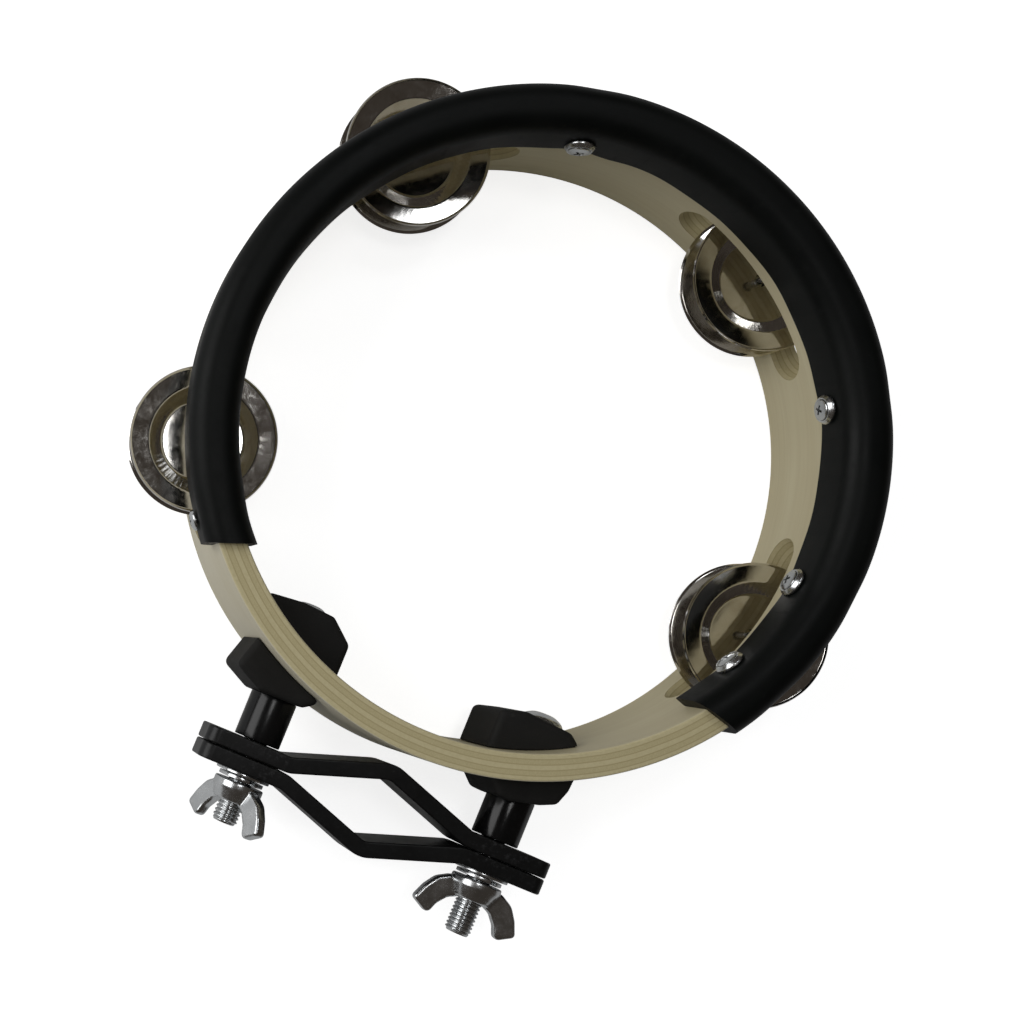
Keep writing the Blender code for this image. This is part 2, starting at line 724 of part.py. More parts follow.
def build_nuts():
    """On each bolt: a flat washer, a spring washer and a wing nut."""
    flat = lathe_mesh(
        "flat_washer", ring_profile(WASHER_RADIUS, BOLT_HOLE, 0.0, WASHER_THICK), BOLT_STEPS
    )
    spring = spring_washer_mesh()
    wing = wing_nut_mesh()
    for side, sign in SIDES.items():
        x = sign * BOLT_X
        aim(add_part(f"flat_washer_{side}", flat.copy(), ZINC), (0, -1, 0), (x, WASHER_Y, BOLT_Z))
        aim(add_part(f"spring_washer_{side}", spring.copy(), ZINC), (0, -1, 0), (x, SPRING_Y, BOLT_Z))
        nut = add_part(f"wing_nut_{side}", wing.copy(), ZINC)
        nut.rotation_euler = (math.pi / 2, WING_TURNS[side], 0.0)
        nut.location = (x, WING_Y, BOLT_Z)


def move_to_origin():
    """Shifts all pieces and cutters so that the origin lies on the back rim, behind the clamp."""
    for item in list(PARTS.objects) + list(CUTTERS.objects):
        item.location.y += HOOP_MIDDLE


build_shell()
build_guard()
build_guard_fasteners()
build_jingles()
build_pads()
build_bolts()
build_straps()
build_nuts()
move_to_origin()
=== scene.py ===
"""Looks for the wooden tambourine with stand clamp: fine meshes, materials, lights and camera.

Lengths are in metres. Shapes are laid out from the hoop's centre on its bare back rim: +Z runs towards the
guarded front rim and -Y to the clamp. add() then moves each one to the CAD's own origin. Places come from
the frame's boxes and joints.
"""

import json
import math
import random

import bmesh
import bpy
from mathutils import Matrix, Vector, noise


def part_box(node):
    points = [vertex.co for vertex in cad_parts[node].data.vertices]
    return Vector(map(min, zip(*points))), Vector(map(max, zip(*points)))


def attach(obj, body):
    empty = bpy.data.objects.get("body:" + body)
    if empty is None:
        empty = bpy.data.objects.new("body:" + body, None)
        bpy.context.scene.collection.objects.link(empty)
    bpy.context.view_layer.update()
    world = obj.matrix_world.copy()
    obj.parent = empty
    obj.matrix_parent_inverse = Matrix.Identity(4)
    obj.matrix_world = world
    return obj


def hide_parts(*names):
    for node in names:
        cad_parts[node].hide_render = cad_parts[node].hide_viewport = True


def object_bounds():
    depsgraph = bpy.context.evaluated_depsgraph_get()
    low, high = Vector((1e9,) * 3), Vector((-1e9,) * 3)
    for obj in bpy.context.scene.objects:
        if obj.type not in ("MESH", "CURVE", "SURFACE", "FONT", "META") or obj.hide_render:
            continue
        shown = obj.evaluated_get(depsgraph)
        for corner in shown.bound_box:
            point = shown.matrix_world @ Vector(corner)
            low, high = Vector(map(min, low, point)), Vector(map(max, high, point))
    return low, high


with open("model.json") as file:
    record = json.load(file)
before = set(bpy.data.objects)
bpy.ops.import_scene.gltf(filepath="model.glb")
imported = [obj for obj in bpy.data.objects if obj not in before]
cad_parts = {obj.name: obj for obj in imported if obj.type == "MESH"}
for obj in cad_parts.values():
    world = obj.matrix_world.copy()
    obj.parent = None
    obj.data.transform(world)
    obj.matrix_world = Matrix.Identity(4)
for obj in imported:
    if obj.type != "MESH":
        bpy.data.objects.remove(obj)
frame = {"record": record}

CAD_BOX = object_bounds()
MM = 0.001
SIDES = ("left", "right")
JOINTS = {joint["name"]: joint for joint in frame["record"]["behaviour"]["joints"]}


def vector_box(node):
    low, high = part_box(node)
    return Vector(low), Vector(high)


SHELL_LOW, SHELL_HIGH = vector_box("wood_shell")
HOOP_CENTRE = Vector(((SHELL_LOW.x + SHELL_HIGH.x) / 2, (SHELL_LOW.y + SHELL_HIGH.y) / 2, 0.0))


def box(node):
    """A CAD node's box as seen from the hoop's centre."""
    low, high = vector_box(node)
    return low - HOOP_CENTRE, high - HOOP_CENTRE


def box_centre(node):
    low, high = box(node)
    return (low + high) / 2


def box_size(node):
    low, high = box(node)
    return high - low


HOOP_OUTER = box("wood_shell")[1].x
HOOP_DEPTH = box("wood_shell")[1].z
HOOP_WALL = 8.2 * MM
HOOP_INNER = HOOP_OUTER - HOOP_WALL
HOOP_MIDDLE = HOOP_OUTER - HOOP_WALL / 2
GUARD_OUTER = box("rubber_guard")[1].y
GUARD_TOP = box("rubber_guard")[1].z
GUARD_LOW = box("rubber_guard")[0].z
GUARD_INNER = HOOP_INNER - (GUARD_OUTER - HOOP_OUTER)
GUARD_START = math.radians(-36.0)
GUARD_END = math.radians(221.5)
GUARD_SLANT = math.radians(3.3)
BOLT_Z = box_centre("clamp_bolt_left").z
BOLT_X = box_centre("clamp_bolt_right").x
THREAD_PITCH = 1.25 * MM


# The camera looks down with the hoop turned by this angle in its view, and the lights keep to the same frame:
# x to the view's right, y to its top, z up, all from the hoop's centre.
VIEW_ROLL = math.radians(22.5)
VIEW_FRAME = Matrix.Translation(HOOP_CENTRE) @ Matrix.Rotation(VIEW_ROLL, 4, "Z")


# ---------------------------------------------------------------- mesh helpers


def mesh_from(name, points, faces):
    mesh = bpy.data.meshes.new(name)
    mesh.from_pydata([tuple(p) for p in points], [], faces)
    work = bmesh.new()
    work.from_mesh(mesh)
    bmesh.ops.remove_doubles(work, verts=work.verts, dist=1e-7)
    bmesh.ops.recalc_face_normals(work, faces=work.faces)
    work.to_mesh(mesh)
    work.free()
    return mesh


def grid_mesh(name, rows, close_rows=False, close_columns=False, caps=False):
    """A skin over rows of points. Rows and columns may each close on themselves."""
    count, width = len(rows), len(rows[0])
    points = [p for row in rows for p in row]
    faces = []
    for i in range(count if close_rows else count - 1):
        for j in range(width if close_columns else width - 1):
            k = (i + 1) % count
            m = (j + 1) % width
            faces.append((i * width + j, i * width + m, k * width + m, k * width + j))
    if caps:
        faces.append(tuple(range(width)))
        faces.append(tuple((count - 1) * width + j for j in range(width)))
    return mesh_from(name, points, faces)


def revolve(name, profile, steps, closed=True):
    """Turns (radius, height) points about Z. An open profile starts and ends on the axis."""
    rows = []
    for i in range(steps):
        angle = math.tau * i / steps
        rows.append([(r * math.cos(angle), r * math.sin(angle), z) for r, z in profile])
    return grid_mesh(name, rows, close_rows=True, close_columns=closed)


def filleted(corners, radii, steps=5, closed=True):
    """Rounds the corners of a path in the plane; a radius of 0 keeps a corner sharp."""
    count = len(corners)
    points = []
    for i, (corner, radius) in enumerate(zip(corners, radii)):
        at = Vector(corner)
        if radius == 0 or (not closed and i in (0, count - 1)):
            points.append((at.x, at.y))
            continue
        before = (Vector(corners[i - 1]) - at).normalized()
        after = (Vector(corners[(i + 1) % count]) - at).normalized()
        half = before.angle(after) / 2
        reach = radius / math.tan(half)
        centre = at + (before + after).normalized() * (radius / math.sin(half))
        first = at + before * reach - centre
        last = at + after * reach - centre
        turn = math.atan2(first.x * last.y - first.y * last.x, first.dot(last))
        for k in range(steps + 1):
            a = turn * k / steps
            points.append(
                (
                    centre.x + first.x * math.cos(a) - first.y * math.sin(a),
                    centre.y + first.x * math.sin(a) + first.y * math.cos(a),
                )
            )
    return points


def ring(outer, inner, low, high, rounding, steps=3):
    corners = [(outer, high), (outer, low), (inner, low), (inner, high)]
    return filleted(corners, [rounding] * 4, steps)


def prism(name, outline, thickness):
    """A filled outline in XY with its thickness evenly about z = 0."""
    count = len(outline)
    points = [(x, y, z) for z in (thickness / 2, -thickness / 2) for x, y in outline]
    faces = [tuple(range(count)), tuple(range(2 * count - 1, count - 1, -1))]
    for i in range(count):
        k = (i + 1) % count
        faces.append((i, i + count, k + count, k))
    return mesh_from(name, points, faces)


def turned(mesh, direction, location, spin=0.0):
    """Moves a mesh so that its own +Z points along a direction."""
    place = Vector(direction).to_track_quat("Z", "Y").to_matrix().to_4x4()
    mesh.transform(Matrix.Translation(location) @ place @ Matrix.Rotation(spin, 4, "Z"))
    return mesh


def radial(angle, radius, height=0.0):
    return Vector((radius * math.cos(angle), radius * math.sin(angle), height))


def helper(mesh):
    thing = bpy.data.objects.new("helper_" + mesh.name, mesh)
    bpy.context.scene.collection.objects.link(thing)
    return thing


def evaluated(thing):
    """The modified mesh of a helper object; the helper is removed."""
    graph = bpy.context.evaluated_depsgraph_get()
    graph.update()
    mesh = bpy.data.meshes.new_from_object(thing.evaluated_get(graph))
    bpy.data.objects.remove(thing, do_unlink=True)
    return mesh


def cut(mesh, cutters, operation="DIFFERENCE"):
    """Boolean of a mesh with several cutter meshes, one after another."""
    body = helper(mesh)
    tools = [helper(cutter) for cutter in cutters]
    for tool in tools:
        step = body.modifiers.new("cut", "BOOLEAN")
        step.operation = operation
        step.solver = "EXACT"
        step.object = tool
    made = evaluated(body)
    for tool in tools:
        bpy.data.objects.remove(tool, do_unlink=True)
    return made


def softened(mesh, voxel, smoothing, factor=0.5):
    """Voxel remesh and smoothing: melts joined shapes into one cast or moulded skin."""
    body = helper(mesh)
    remesh = body.modifiers.new("remesh", "REMESH")
    remesh.mode = "VOXEL"
    remesh.voxel_size = voxel
    smooth = body.modifiers.new("smooth", "SMOOTH")
    smooth.factor = factor
    smooth.iterations = smoothing
    return evaluated(body)


def joined(meshes, name):
    work = bmesh.new()
    for mesh in meshes:
        work.from_mesh(mesh)
    made = bpy.data.meshes.new(name)
    work.to_mesh(made)
    work.free()
    return made


def cylinder(name, radius, length, steps):
    half = length / 2
    return revolve(name, [(0, half), (radius, half), (radius, -half), (0, -half)], steps, False)


def add(name, mesh, material, body, nodes, smooth_angle=40.0, weighted=False):
    """Shows a mesh as a piece that rides on a body and stands for CAD nodes."""
    mesh.name = name
    mesh.materials.clear()
    mesh.materials.append(material)
    mesh.shade_smooth()
    mesh.set_sharp_from_angle(angle=math.radians(smooth_angle))
    mesh.transform(Matrix.Translation(HOOP_CENTRE))
    piece = bpy.data.objects.new(name, mesh)
    bpy.context.scene.collection.objects.link(piece)
    if weighted:
        normals = piece.modifiers.new("normals", "WEIGHTED_NORMAL")
        normals.keep_sharp = True
    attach(piece, body)
    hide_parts(*nodes)
    return piece


# ---------------------------------------------------------------- materials


class Nodes:
    """A material's node tree with short ways to add what the materials here need."""

    def __init__(self, name):
        self.material = bpy.data.materials.new(name)
        self.material.use_nodes = True
        self.tree = self.material.node_tree
        self.surface = self.tree.nodes["Principled BSDF"]
        centred = self.tree.nodes.new("ShaderNodeVectorMath")
        centred.operation = "SUBTRACT"
        centred.inputs[1].default_value = HOOP_CENTRE
        self.link(self.tree.nodes.new("ShaderNodeTexCoord").outputs["Object"], centred.inputs[0])
        self.coords = centred.outputs[0]

    def link(self, source, target):
        self.tree.links.new(source, target)

    def feed(self, socket, value):
        if hasattr(value, "is_output"):
            self.link(value, socket)
        else:
            socket.default_value = value

    def stretched(self, scale, vector=None):
        node = self.tree.nodes.new("ShaderNodeMapping")
        node.inputs["Scale"].default_value = scale
        self.link(vector or self.coords, node.inputs["Vector"])
        return node.outputs["Vector"]

    def noise(self, scale, detail=4.0, roughness=0.55, vector=None, distortion=0.0):
        node = self.tree.nodes.new("ShaderNodeTexNoise")
        if isinstance(scale, tuple):
            vector = self.stretched(scale, vector)
            scale = 1.0
        node.inputs["Scale"].default_value = scale
        node.inputs["Detail"].default_value = detail
        node.inputs["Roughness"].default_value = roughness
        node.inputs["Distortion"].default_value = distortion
        self.link(vector or self.coords, node.inputs["Vector"])
        return node.outputs["Fac"]

    def math(self, operation, a, b=0.0, clamp=False):
        node = self.tree.nodes.new("ShaderNodeMath")
        node.operation = operation
        node.use_clamp = clamp
        self.feed(node.inputs[0], a)
        self.feed(node.inputs[1], b)
        return node.outputs[0]

    def remap(self, value, low, high, to_low=0.0, to_high=1.0):
        node = self.tree.nodes.new("ShaderNodeMapRange")
        for name, setting in zip(
            ("Value", "From Min", "From Max", "To Min", "To Max"),
            (value, low, high, to_low, to_high),
        ):
            self.feed(node.inputs[name], setting)
        return node.outputs["Result"]

    def mix(self, factor, a, b):
        node = self.tree.nodes.new("ShaderNodeMix")
        node.data_type = "RGBA"
        self.feed(node.inputs["Factor"], factor)
        colors = [s for s in node.inputs if s.type == "RGBA"]
        for socket, value in zip(colors, (a, b)):
            self.feed(socket, (*value, 1.0) if isinstance(value, tuple) else value)
        return next(s for s in node.outputs if s.type == "RGBA")

    def bump(self, height, strength, distance, onto=None):
        node = self.tree.nodes.new("ShaderNodeBump")
        node.inputs["Strength"].default_value = strength
        node.inputs["Distance"].default_value = distance
        self.link(height, node.inputs["Height"])
        if onto:
            self.link(onto, node.inputs["Normal"])
        return node.outputs["Normal"]

    def geometry(self, output):
        return self.tree.nodes.new("ShaderNodeNewGeometry").outputs[output]

    def split(self, vector):
        node = self.tree.nodes.new("ShaderNodeSeparateXYZ")
        self.link(vector, node.inputs[0])
        return node.outputs

    def finish(self, color, roughness, normal=None, metallic=0.0, inputs=()):
        self.feed(self.surface.inputs["Base Color"], (*color, 1.0) if isinstance(color, tuple) else color)
        self.feed(self.surface.inputs["Roughness"], roughness)
        self.surface.inputs["Metallic"].default_value = metallic
        if normal:
            self.link(normal, self.surface.inputs["Normal"])
        for name, value in inputs:
            self.feed(self.surface.inputs[name], value)
        return self.material


def plywood_material():
    """Pale smooth veneer with faint grain round the hoop, and five bare plies where the wall is cut."""
    n = Nodes("plywood")
    x, y = n.split(n.coords)[:2]
    radius = n.math("SQRT", n.math("ADD", n.math("MULTIPLY", x, x), n.math("MULTIPLY", y, y)))
    nx, ny = n.split(n.geometry("Normal"))[:2]
    facing = n.math("ADD", n.math("MULTIPLY", n.math("DIVIDE", x, radius), nx),
                    n.math("MULTIPLY", n.math("DIVIDE", y, radius), ny))
    is_cut = n.remap(n.math("ABSOLUTE", facing), 0.75, 0.55)
    is_outside = n.remap(facing, 0.3, 0.7)

    fibres = n.noise((30, 30, 1500), 5.0, 0.6)
    bands = n.noise((9, 9, 190), 3.0, 0.5, distortion=0.4)
    blotches = n.noise(22.0, 3.0)
    veneer = n.mix(n.remap(bands, 0.3, 0.7), (0.62, 0.55, 0.36), (0.67, 0.61, 0.415))
    veneer = n.mix(n.math("MULTIPLY", is_outside, 0.75), veneer, (0.74, 0.70, 0.57))
    veneer = n.mix(n.remap(fibres, 0.5, 0.78, 0.0, 0.30), veneer, (0.50, 0.42, 0.26))
    veneer = n.mix(n.remap(blotches, 0.4, 0.75, 0.0, 0.35), veneer, (0.56, 0.49, 0.31))

    plies = 5.0
    wobble = n.remap(n.noise((60, 60, 60), 2.0), 0.0, 1.0, -0.12, 0.12)
    depth = n.math("SUBTRACT", radius, HOOP_INNER)
    layer = n.math("ADD", n.math("DIVIDE", depth, HOOP_WALL / plies), wobble)
    odd = n.math("GREATER_THAN", n.math("MODULO", layer, 2.0), 1.0)
    in_layer = n.math("FRACT", layer)
    to_joint = n.math("MINIMUM", in_layer, n.math("SUBTRACT", 1.0, in_layer))
    glue = n.remap(to_joint, 0.03, 0.16, 0.5, 0.0)
    strands = n.noise((900, 900, 900), 4.0, 0.7)
    end_strands = n.noise((2600, 2600, 300), 3.0, 0.7)
    long_ply = n.mix(n.remap(strands, 0.35, 0.7), (0.62, 0.54, 0.31), (0.68, 0.60, 0.36))
    end_ply = n.mix(n.remap(end_strands, 0.35, 0.7), (0.54, 0.465, 0.255), (0.62, 0.54, 0.31))
    edge = n.mix(odd, long_ply, end_ply)
    edge = n.mix(glue, edge, (0.36, 0.28, 0.13))
    color = n.mix(is_cut, veneer, edge)

    height = n.math("ADD", n.math("MULTIPLY", fibres, 0.6), n.math("MULTIPLY", strands, 0.4))
    cut_height = n.math("MULTIPLY", n.math("ADD", glue, end_strands), is_cut)
    normal = n.bump(height, 0.16, 0.12 * MM)
    normal = n.bump(cut_height, 0.3, 0.12 * MM, normal)
    roughness = n.remap(n.math("ADD", blotches, is_cut), 0.3, 1.6, 0.42, 0.72)
    return n.finish(color, roughness, normal, inputs=[("Specular IOR Level", 0.3)])


def guard_material():
    """Soft black rubber with a dull sheen, fine moulding marks and a little dust."""
    n = Nodes("guard_rubber")
    cloud = n.noise(45.0, 4.0)
    fine = n.noise(2600.0, 3.0, 0.6)
    scuff = n.noise((420, 420, 90), 5.0, 0.7)
    color = n.mix(n.remap(cloud, 0.3, 0.75), (0.0018, 0.0026, 0.0024), (0.0036, 0.0046, 0.0042))
    color = n.mix(n.remap(scuff, 0.62, 0.8, 0.0, 0.30), color, (0.014, 0.016, 0.015))
    rough = n.math("ADD", n.remap(cloud, 0.3, 0.7, 0.42, 0.54), n.remap(scuff, 0.55, 0.8, 0.0, 0.14))
    normal = n.bump(fine, 0.10, 0.05 * MM)
    normal = n.bump(n.noise(160.0, 2.0), 0.25, 0.25 * MM, normal)
    return n.finish(color, rough, normal, inputs=[("Specular IOR Level", 0.18)])


def pad_material():
    """Matt moulded rubber, charcoal, with a painted highlight that makes its rounded edges slightly paler."""
    n = Nodes("pad_rubber")
    cloud = n.noise(70.0, 4.0)
    fine = n.noise(1900.0, 4.0, 0.65)
    # Painted highlight: every convex edge, found by pointiness, is mixed towards a paler charcoal.
    painted_edge_highlight = n.remap(n.geometry("Pointiness"), 0.5, 0.6, 0.0, 0.4)
    color = n.mix(n.remap(cloud, 0.3, 0.7), (0.0085, 0.0082, 0.0076), (0.016, 0.0155, 0.0145))
    color = n.mix(painted_edge_highlight, color, (0.034, 0.033, 0.030))
    color = n.mix(n.remap(fine, 0.6, 0.75, 0.0, 0.25), color, (0.040, 0.039, 0.035))
    normal = n.bump(fine, 0.35, 0.09 * MM)
    normal = n.bump(n.noise(240.0, 3.0), 0.2, 0.25 * MM, normal)
    rough = n.remap(cloud, 0.2, 0.8, 0.62, 0.8)
    return n.finish(color, rough, normal, inputs=[("Specular IOR Level", 0.25)])


def paint_material(name, smoothest):
    """Black coating with orange peel, worn thin on the corners, at least as rough as the given value."""
    n = Nodes(name)
    cloud = n.noise(60.0, 4.0)
    peel = n.noise(520.0, 2.0)
    chips = n.noise(900.0, 4.0, 0.7)
    corner = n.remap(n.geometry("Pointiness"), 0.515, 0.60)
    worn = n.math("MULTIPLY", corner, n.remap(chips, 0.52, 0.7), clamp=True)
    color = n.mix(n.remap(cloud, 0.3, 0.7), (0.0032, 0.0033, 0.0036), (0.0056, 0.0058, 0.0062))
    color = n.mix(n.math("MULTIPLY", worn, 0.6), color, (0.06, 0.06, 0.063))
    sheen = n.remap(cloud, 0.25, 0.75, smoothest, smoothest + 0.12)
    rough = n.math("ADD", sheen, n.math("MULTIPLY", worn, 0.2))
    normal = n.bump(peel, 0.10, 0.12 * MM)
    return n.finish(color, rough, normal, inputs=[("Specular IOR Level", 0.35)])


def nickel_material():
    """Bright nickel plate on pressed steel: dull patches, fine turning marks, a brown tarnish."""
    n = Nodes("nickel")
    cloud = n.noise(95.0, 5.0, 0.6)
    smudge = n.noise(300.0, 5.0, 0.7, distortion=0.8)
    scratch = n.noise((2500, 350, 350), 4.0, 0.7)
    tarnish = n.noise(140.0, 4.0, 0.6)
    color = n.mix(n.remap(cloud, 0.3, 0.7), (0.60, 0.575, 0.535), (0.74, 0.725, 0.70))
    color = n.mix(n.remap(tarnish, 0.56, 0.78, 0.0, 0.5), color, (0.42, 0.36, 0.29))
    rough = n.math("ADD", n.remap(smudge, 0.3, 0.8, 0.05, 0.20), n.remap(scratch, 0.55, 0.75, 0.0, 0.10))
    normal = n.bump(n.noise(110.0, 3.0), 0.12, 0.30 * MM)
    normal = n.bump(scratch, 0.05, 0.03 * MM, normal)
    return n.finish(color, rough, normal, metallic=1.0)


def zinc_material():
    """Bright zinc plate on cast and rolled hardware, with painted shade darkening its creases and hollows."""
    n = Nodes("zinc")
    cloud = n.noise(160.0, 5.0, 0.6)
    grain = n.noise(1500.0, 4.0, 0.65)
    # Painted shade: concave places, found by low pointiness, are mixed towards a dark grey.
    painted_crease_shade = n.remap(n.geometry("Pointiness"), 0.40, 0.495, 1.0, 0.0)
    color = n.mix(n.remap(cloud, 0.3, 0.7), (0.60, 0.62, 0.63), (0.76, 0.775, 0.785))
    color = n.mix(n.math("MULTIPLY", painted_crease_shade, 0.65), color, (0.16, 0.155, 0.145))
    rough = n.math("ADD", n.remap(cloud, 0.3, 0.7, 0.16, 0.30), n.remap(grain, 0.5, 0.8, 0.0, 0.12))
    normal = n.bump(grain, 0.16, 0.06 * MM)
    normal = n.bump(cloud, 0.25, 0.20 * MM, normal)
    return n.finish(color, rough, normal, metallic=1.0)


PLYWOOD = plywood_material()
GUARD_RUBBER = guard_material()
PAD_RUBBER = pad_material()
STRAP_PAINT = paint_material("strap_paint", 0.30)
TUBE_PAINT = paint_material("tube_paint", 0.14)
NICKEL = nickel_material()
ZINC = zinc_material()


# ---------------------------------------------------------------- hoop


def stadium(length, width, steps):
    straight = (length - width) / 2
    points = []
    for end in (1, -1):
        for i in range(steps + 1):
            a = math.pi * i / steps - end * math.pi / 2
            points.append((end * straight + width / 2 * math.cos(a), width / 2 * math.sin(a)))
    return points


def jingle_places():
    """Each pair's angle round the hoop and its pin's distance from the axis."""
    for i in range(1, 5):
        place = Vector(JOINTS[f"pin_{i}_spin"]["pos_m"]) - HOOP_CENTRE
        yield i, math.atan2(place.y, place.x), math.hypot(place.x, place.y)


def build_hoop():
    """The plywood wall with eased rims, slots that run right through, and its drilled holes."""
    slot_length, slot_width, slot_height = 63.5 * MM, 14 * MM, 17.5 * MM
    steps, easing = 288, 0.7 * MM
    profile = ring(HOOP_OUTER, HOOP_INNER, 0.0, HOOP_DEPTH, easing, 4)
    wall = revolve("wall", profile, steps)
    cutters = []
    for i, angle, pin_circle in jingle_places():
        slot = prism("slot", stadium(slot_length, slot_width, 20), 26 * MM)
        place = Matrix.Rotation(angle + math.pi / 2, 4, "Z") @ Matrix.Rotation(math.pi / 2, 4, "X")
        slot.transform(Matrix.Translation(radial(angle, HOOP_MIDDLE - 3 * MM, slot_height)) @ place)
        cutters.append(slot)
        pin_low = box(f"jingle_pin_{i}")[0].z - 0.2 * MM
        hole_length = HOOP_DEPTH + 2 * MM - pin_low
        pin_hole = cylinder("pin_hole", 1.4 * MM, hole_length, 24)
        pin_hole.transform(Matrix.Translation(radial(angle, pin_circle, pin_low + hole_length / 2)))
        cutters.append(pin_hole)
    for side in SIDES:
        bolt = box_centre(f"clamp_bolt_{side}")
        wall_y = -math.sqrt(HOOP_MIDDLE**2 - bolt.x**2)
        cutters.append(turned(cylinder("bore", 4.5 * MM, 40 * MM, 40), (0, 1, 0), (bolt.x, wall_y, BOLT_Z)))
    wall = cut(wall, cutters)
    body = helper(wall)
    weld = body.modifiers.new("weld", "WELD")
    weld.merge_threshold = 0.02 * MM
    ease = body.modifiers.new("ease", "BEVEL")
    ease.width = 0.3 * MM
    ease.segments = 2
    ease.limit_method = "ANGLE"
    ease.angle_limit = math.radians(50)
    add("wood_hoop", evaluated(body), PLYWOOD, "hoop", ["wood_shell"], 45, weighted=True)


# ---------------------------------------------------------------- rubber guard


def near(distance, reach):
    """1 at a place, falling off smoothly to 0 beyond its reach."""
    return math.exp(-((distance / reach) ** 2))


SCREWS = range(1, 6)
OUTER_SCREW = 5  # the one screw whose head is on the outer side


def screw_angles():
    """Each guard screw's angle, counted on from the guard's start."""
    angles = []
    for number in SCREWS:
        middle = box_centre(f"guard_screw_{number}")
        angle = math.atan2(middle.y, middle.x)
        angles.append(angle if angle > GUARD_START else angle + math.tau)
    return angles


SCREW_ANGLES = screw_angles()


def guard_section(share):
    """The channel's cross-section at a share of its length: (radius, height) points, rounded corners.

    The lip is uneven: drawn in at each screw, sagging between them, and tucked in at its last end.
    """
    angle = GUARD_START + share * (GUARD_END - GUARD_START)
    wave = 0.35 * math.sin(angle * 11.0) + 0.25 * math.sin(angle * 23.0 + 1.0)
    droop = 1.5 * near(angle - math.radians(97.0), math.radians(3.2))
    tucked, tip = 1.2 * near(1 - share, 0.03), 1.0 * near(1 - share, 0.004)
    lip = GUARD_LOW + (0.25 - 0.35 * wave - 0.5 * droop - tip) * MM
    pulled = sum(near(angle - a, math.radians(3.5)) for a in SCREW_ANGLES)
    puff = (0.45 * (1 - pulled) + 0.25 * wave + 0.2) * MM
    inner_lip = GUARD_INNER - puff + (tucked - 0.3) * MM
    outer = GUARD_OUTER - 0.05 * MM - 0.25 * MM * pulled
    top = GUARD_TOP - 0.05 * MM
    channel_top = HOOP_DEPTH + 0.15 * MM
    corners = [
        (outer, top),
        (outer, GUARD_LOW + 0.2 * MM),
        (HOOP_OUTER + 0.12 * MM, GUARD_LOW + 0.2 * MM),
        (HOOP_OUTER + 0.12 * MM, channel_top),
        (HOOP_INNER - 0.12 * MM, channel_top),
        (HOOP_INNER - 0.12 * MM - 0.4 * puff, lip),
        (inner_lip, lip),
        (GUARD_INNER + 0.3 * MM, top),
    ]
    rounding = [6.2, 1.0, 0.5, 0.8, 0.8, 0.5, 1.1, 6.2]
    return filleted(corners, [r * MM for r in rounding], 8)


def build_guard():
    """One rubber channel swept round the rim, its ends cut square before it was bent, so they slant."""
    steps = 360
    rows = []
    for i in range(steps + 1):
        share = i / steps
        angle = GUARD_START + share * (GUARD_END - GUARD_START)
        slant = (2 * share - 1) * GUARD_SLANT / (GUARD_OUTER - GUARD_INNER)
        row = []
        for radius, height in guard_section(share):
            lead = slant * (HOOP_MIDDLE - radius)
            row.append(radial(angle + lead, radius, height))
        rows.append(row)
    mesh = grid_mesh("guard", rows, close_columns=True, caps=True)
    add("rim_guard", mesh, GUARD_RUBBER, "hoop", ["rubber_guard"], 55)


def cross_recess(height):
    """Two crossed tapered blades that cut a head whose top is at this height, in millimetres."""
    blades = []
    for quarter in range(2):
        blade = prism("blade", [(-1.75, 0.6), (1.75, 0.6), (0.9, -1.4), (-0.9, -1.4)], 0.75)
        turn = Matrix.Rotation(quarter * math.pi / 2, 4, "Z") @ Matrix.Rotation(math.pi / 2, 4, "X")
        blade.transform(Matrix.Translation((0, 0, height * MM)) @ turn @ Matrix.Scale(MM, 4))
        blades.append(blade)
    return blades


def raised_head():
    """A raised countersunk head with a cross recess. The seat of its washer is at z = 0."""
    profile = filleted(
        [(0, 2.55), (1.6, 2.45), (2.75, 2.05), (3.2, 1.75), (1.5, 0.1), (1.5, -1.5), (0, -1.5)],
        [0, 1.5, 1.5, 0.1, 0.2, 0, 0],
        3,
        closed=False,
    )
    return cut(revolve("head", [(r * MM, z * MM) for r, z in profile], 48, False), cross_recess(2.4))


def cup_washer():
    profile = filleted(
        [(3.65, 1.75), (4.5, 0.7), (4.6, 0.0), (2.0, 0.0), (2.0, 0.4), (3.25, 1.6)],
        [0.15, 0.5, 0.15, 0.05, 0.05, 0.1],
        3,
    )
    return revolve("cup", [(r * MM, z * MM) for r, z in profile], 64)


def round_head():
    """A low round head with a cross recess. Its flat underside is at z = 0."""
    profile = filleted(
        [(0, 1.5), (1.9, 1.3), (3.15, 0.6), (3.15, 0.0), (1.5, 0.0), (1.5, -1.5), (0, -1.5)],
        [0, 1.5, 0.8, 0.1, 0.1, 0, 0],
        3,
        closed=False,
    )
    return cut(revolve("head", [(r * MM, z * MM) for r, z in profile], 48, False), cross_recess(1.35))


def threaded_rod(radius, pitch, depth, length, steps=40, rows_per_turn=10):
    """A rod from z = 0 down to -length with a raised spiral thread and a pointed end."""
    rows = []
    count = int(length / pitch * rows_per_turn)
    tip = 1.0 * MM
    for i in range(count + 1):
        z = -length * i / count
        row = []
        for k in range(steps):
            angle = math.tau * k / steps
            phase = (z / pitch + k / steps) % 1.0
            groove = max(0.0, 1.0 - abs(phase - 0.5) * 2.6)
            run_out = min(1.0, (length + z) / tip)
            r = radius - depth * groove - (1 - run_out) * depth * 1.3 * (1 - groove)
            row.append((r * math.cos(angle), r * math.sin(angle), z))
        rows.append(row)
    return grid_mesh("thread", rows, close_columns=True, caps=True)


